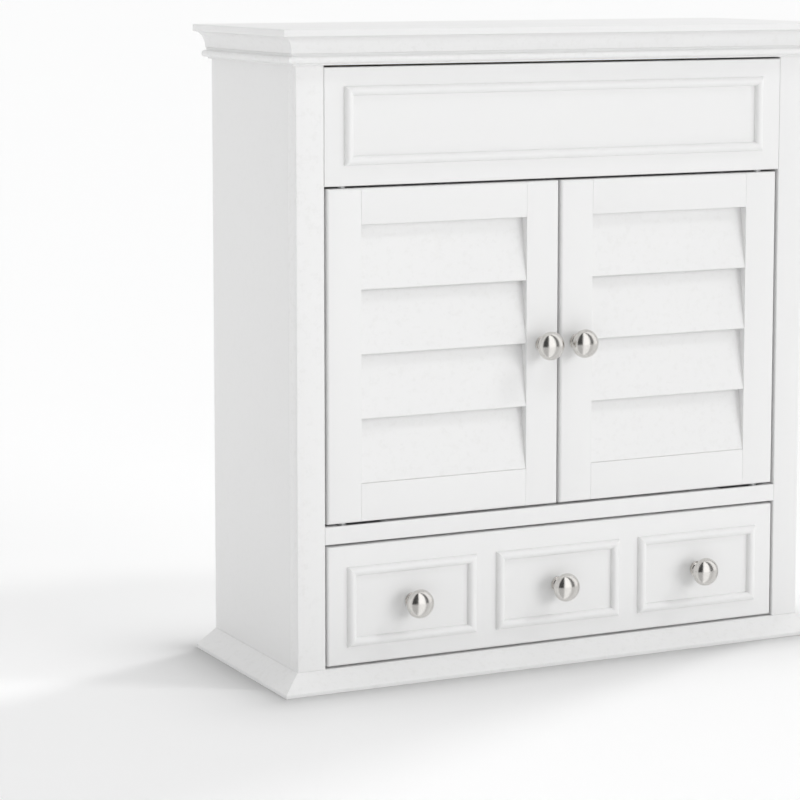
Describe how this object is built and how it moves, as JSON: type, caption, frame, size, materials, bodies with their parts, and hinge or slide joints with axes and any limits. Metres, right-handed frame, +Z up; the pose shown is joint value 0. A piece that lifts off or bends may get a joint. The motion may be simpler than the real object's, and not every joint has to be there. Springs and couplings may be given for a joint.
{
  "type": "wall cabinet",
  "caption": "White painted wall cabinet with a crown moulding, a fixed beaded panel, two louvred doors and one wide drawer made to look like a row of small ones.",
  "frame": {"origin": "centre of the underside", "axes": "+X to the cabinet's right as one faces it, +Y into the wall, +Z up"},
  "size_m": [0.602, 0.229, 0.623],
  "materials": {
    "white_paint": "white satin paint",
    "bare_wood": "clear-sealed pine",
    "knob_metal": "polished nickel",
    "hardware": "zinc plated",
    "bush_plastic": "moulded nylon",
    "catch_plastic": "moulded, matte"
  },
  "bodies": {
    "cabinet": {"left_side": "white_paint", "right_side": "white_paint", "bottom_panel": "white_paint", "base_front": "white_paint", "base_left": "white_paint", "base_right": "white_paint", "left_stile": "white_paint", "right_stile": "white_paint", "mid_rail": "white_paint", "head_rail": "white_paint", "fascia_panel": "white_paint", "fascia_bead": "white_paint", "crown_front": "white_paint", "crown_left": "white_paint", "crown_right": "white_paint", "top_inner": "white_paint", "top_board": "white_paint", "back_panel": "white_paint", "hanging_rail": "bare_wood", "divider_board": "white_paint", "shelf": "white_paint", "shelf_pins": "hardware", "drawer_guides": "bare_wood", "drawer_stop": "bare_wood", "door_catch": "catch_plastic", "pivot_plates": "hardware", "frame_screws": "hardware"},
    "left_door": {"left_hinge_stile": "white_paint", "left_meeting_stile": "white_paint", "left_top_rail": "white_paint", "left_low_rail": "white_paint", "left_slat_1": "white_paint", "left_slat_2": "white_paint", "left_slat_3": "white_paint", "left_slat_4": "white_paint", "left_knob": "knob_metal", "left_bushes": "bush_plastic", "left_strike": "hardware", "left_screws": "hardware"},
    "right_door": {"right_hinge_stile": "white_paint", "right_meeting_stile": "white_paint", "right_top_rail": "white_paint", "right_low_rail": "white_paint", "right_slat_1": "white_paint", "right_slat_2": "white_paint", "right_slat_3": "white_paint", "right_slat_4": "white_paint", "right_knob": "knob_metal", "right_bushes": "bush_plastic", "right_strike": "hardware", "right_screws": "hardware"},
    "drawer": {"drawer_front": "white_paint", "drawer_beads": "white_paint", "drawer_left_side": "bare_wood", "drawer_right_side": "bare_wood", "drawer_back": "bare_wood", "drawer_bottom": "bare_wood", "drawer_knobs": "knob_metal", "drawer_screws": "hardware"}
  },
  "joints": [
    {"name": "left_door_hinge", "type": "hinge", "parent": "cabinet", "child": "left_door", "pos_m": [-0.23, -0.0815, 0.31525], "axis": [0, 0, -1], "range_deg": [0, 110]},
    {"name": "right_door_hinge", "type": "hinge", "parent": "cabinet", "child": "right_door", "pos_m": [0.23, -0.0815, 0.31525], "axis": [0, 0, 1], "range_deg": [0, 110]},
    {"name": "drawer_slide", "type": "slide", "parent": "cabinet", "child": "drawer", "axis": [0, -1, 0], "range_m": [0, 0.135]}
  ]
}
